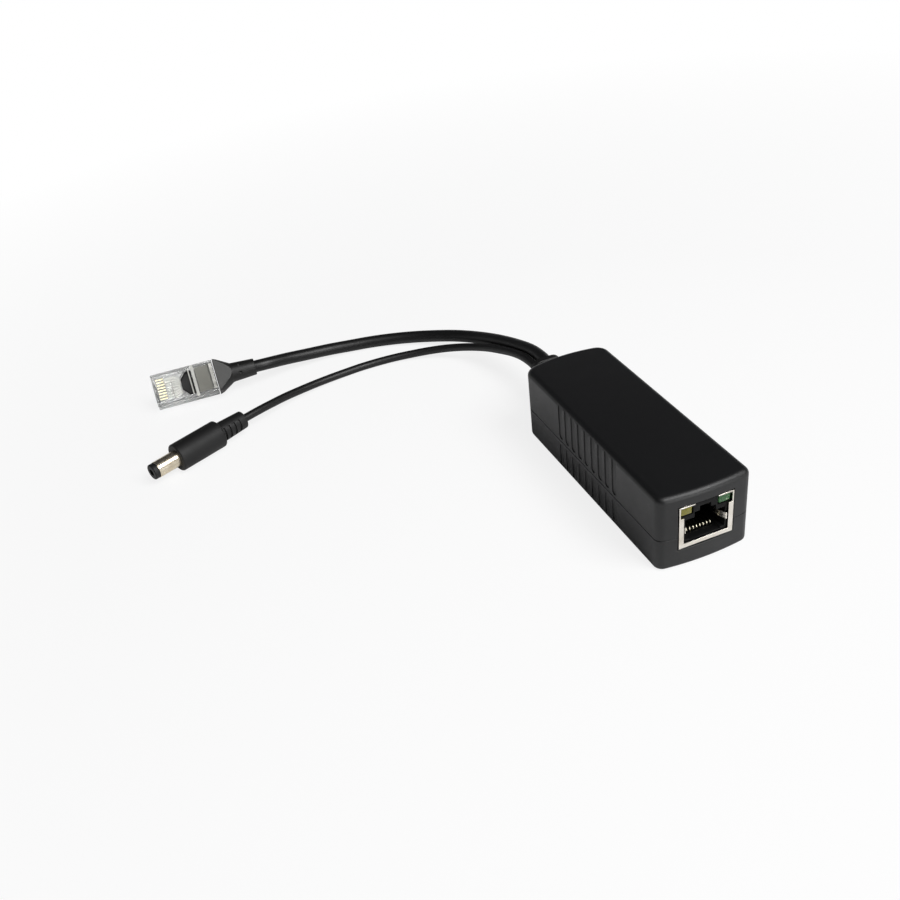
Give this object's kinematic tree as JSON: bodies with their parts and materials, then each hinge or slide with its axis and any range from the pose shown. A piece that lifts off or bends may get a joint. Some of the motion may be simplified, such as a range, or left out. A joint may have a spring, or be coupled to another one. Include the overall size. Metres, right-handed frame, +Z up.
{
  "type": "power over ethernet splitter",
  "caption": "Slim black in-line PoE box with a shielded network jack at one end and a short pigtail ending in a clear network plug and a barrel power plug.",
  "frame": {"origin": "middle of the case's underside", "axes": "+Y along the case from the jack to the pigtail, +Z up, +X to the right seen from the jack"},
  "size_m": [0.145, 0.1648, 0.0235],
  "materials": {
    "case_plastic": "black moulded plastic with a fine matt texture",
    "nickel_sheet": "bright nickel plate, slightly warm",
    "insert_plastic": "black moulded plastic",
    "gold_contact": "gold-plated contact",
    "yellow_lens": "unlit yellow lens",
    "green_lens": "unlit green lens",
    "circuit_board": "green solder mask",
    "component_body": "black moulded component",
    "ferrite": "dark ferrite",
    "winding_tape": "yellow winding tape",
    "capacitor_can": "sleeved can",
    "wire_insulation": "coloured wire insulation",
    "rubber": "black moulded rubber",
    "cord_jacket": "black cable jacket with a soft sheen",
    "clear_plastic": "clear moulded plastic",
    "boot_plastic": "dark grey moulded boot"
  },
  "bodies": {
    "case": {"upper_shell": "case_plastic", "lower_shell": "case_plastic", "jack_shield": "nickel_sheet", "jack_insert": "insert_plastic", "led_yellow": "yellow_lens", "led_green": "green_lens", "jack_pin_block": "gold_contact", "circuit_board": "circuit_board", "lan_magnetics": "component_body", "bridge_rectifier_1": "component_body", "bridge_rectifier_2": "component_body", "controller_chip": "component_body", "power_transformer_core": "ferrite", "power_transformer_winding": "winding_tape", "input_capacitor": "capacitor_can", "output_capacitor": "capacitor_can", "output_inductor": "ferrite", "output_diode": "component_body", "ethernet_tail": "cord_jacket", "dc_tail": "cord_jacket", "strain_relief": "rubber", "ethernet_cord": "cord_jacket", "dc_cord": "cord_jacket", "rj45_plug_body": "clear_plastic", "rj45_blade_1": "gold_contact", "rj45_blade_2": "gold_contact", "rj45_blade_3": "gold_contact", "rj45_blade_4": "gold_contact", "rj45_blade_5": "gold_contact", "rj45_blade_6": "gold_contact", "rj45_blade_7": "gold_contact", "rj45_blade_8": "gold_contact", "rj45_conductors": "wire_insulation", "rj45_cord_end": "cord_jacket", "rj45_plug_boot": "boot_plastic", "dc_plug_grip": "boot_plastic", "dc_plug_barrel": "nickel_sheet", "dc_plug_insulator": "insert_plastic", "dc_plug_centre_contact": "nickel_sheet"},
    "jack_contacts": {"jack_contact_1": "gold_contact", "jack_contact_2": "gold_contact", "jack_contact_3": "gold_contact", "jack_contact_4": "gold_contact", "jack_contact_5": "gold_contact", "jack_contact_6": "gold_contact", "jack_contact_7": "gold_contact", "jack_contact_8": "gold_contact"},
    "left_ground_spring": {"ground_spring_left": "nickel_sheet"},
    "right_ground_spring": {"ground_spring_right": "nickel_sheet"},
    "plug_latch": {"rj45_plug_latch": "clear_plastic"}
  },
  "joints": [
    {"name": "contact_spring", "type": "hinge", "parent": "case", "child": "jack_contacts", "pos_m": [0, -0.0352, 0.0081], "axis": [-1, 0, 0], "range_deg": [0, 12], "stiffness_Nm_per_rad": 0.05},
    {"name": "right_ground_spring_flex", "type": "hinge", "parent": "case", "child": "right_ground_spring", "pos_m": [0.00615, -0.03905, 0.0116], "axis": [0, 0, -1], "range_deg": [0, 8], "stiffness_Nm_per_rad": 0.02},
    {"name": "left_ground_spring_flex", "type": "hinge", "parent": "case", "child": "left_ground_spring", "pos_m": [-0.00615, -0.03905, 0.0116], "axis": [0, 0, 1], "range_deg": [0, 8], "stiffness_Nm_per_rad": 0.02},
    {"name": "latch_press", "type": "hinge", "parent": "case", "child": "plug_latch", "pos_m": [-0.12054, 0.12192, 0.00472], "axis": [-0.035, -0.6682, -0.7431], "range_deg": [0, 10], "stiffness_Nm_per_rad": 0.05}
  ]
}
